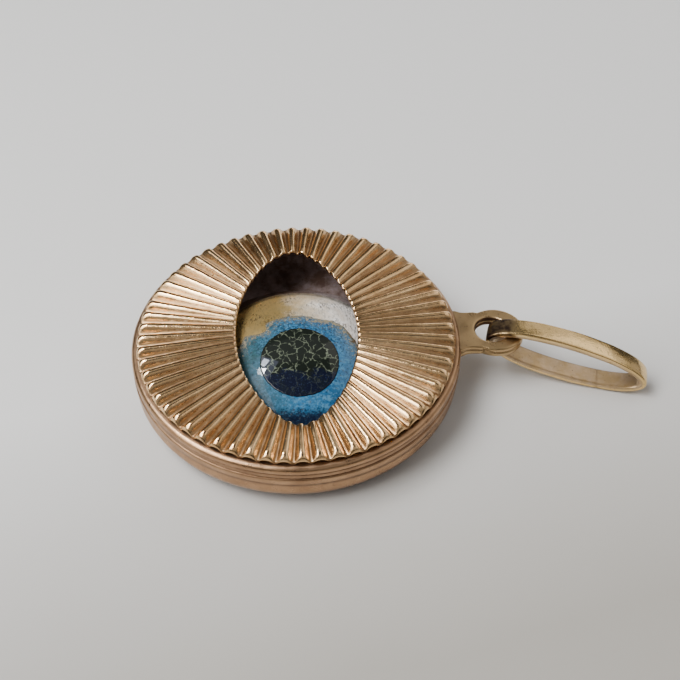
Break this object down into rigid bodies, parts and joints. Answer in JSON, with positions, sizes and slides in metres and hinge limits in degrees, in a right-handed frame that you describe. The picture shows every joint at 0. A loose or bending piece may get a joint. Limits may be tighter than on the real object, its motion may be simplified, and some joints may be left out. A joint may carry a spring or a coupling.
{
  "type": "moving eye charm",
  "caption": "Round gold charm with a sunburst cover, an almond window over a rolling painted eye, and an oval bail.",
  "frame": {"origin": "centre of the case's flat back, on the case's axis", "axes": "+X from the case's axis through the lug's hole, +Y along the long axis of the window, +Z out of the front"},
  "size_m": [0.0275, 0.0174, 0.0034],
  "materials": {
    "case_gold": "old polished 9 carat gold with a rosy tone, fine scratches and darkened seams",
    "cover_gold": "pressed 9 carat gold, bright on the crests of the flutes and brown in the valleys",
    "inner_gold": "tarnished gold, dark brown with a purple-grey bloom",
    "dome_gold": "polished pale gold with light scuffs",
    "blue_enamel": "sky-blue enamel, glossy, worn and speckled at its edge",
    "black_enamel": "blue-black enamel, glossy, with a fine pale crackle",
    "bail_gold": "polished 9 carat gold, worn smooth, with a soldered joint"
  },
  "bodies": {
    "case": {"back_shell": "case_gold", "side_band": "case_gold", "front_frame": "case_gold", "front_cover": "cover_gold", "eye_seat": "inner_gold"},
    "eye": {"eye_dome": "dome_gold", "iris_enamel": "blue_enamel", "pupil_enamel": "black_enamel"},
    "bail": {"bail": "bail_gold"}
  },
  "joints": [
    {"name": "eye_roll", "type": "hinge", "parent": "case", "child": "eye", "pos_m": [0, 0, -0.0058], "axis": [-1, 0, 0], "range_deg": [0, 22]},
    {"name": "bail_swing", "type": "hinge", "parent": "case", "child": "bail", "pos_m": [0.0104, 0, 0.00237], "axis": [0, 0, 1], "range_deg": [-73, 107]}
  ]
}
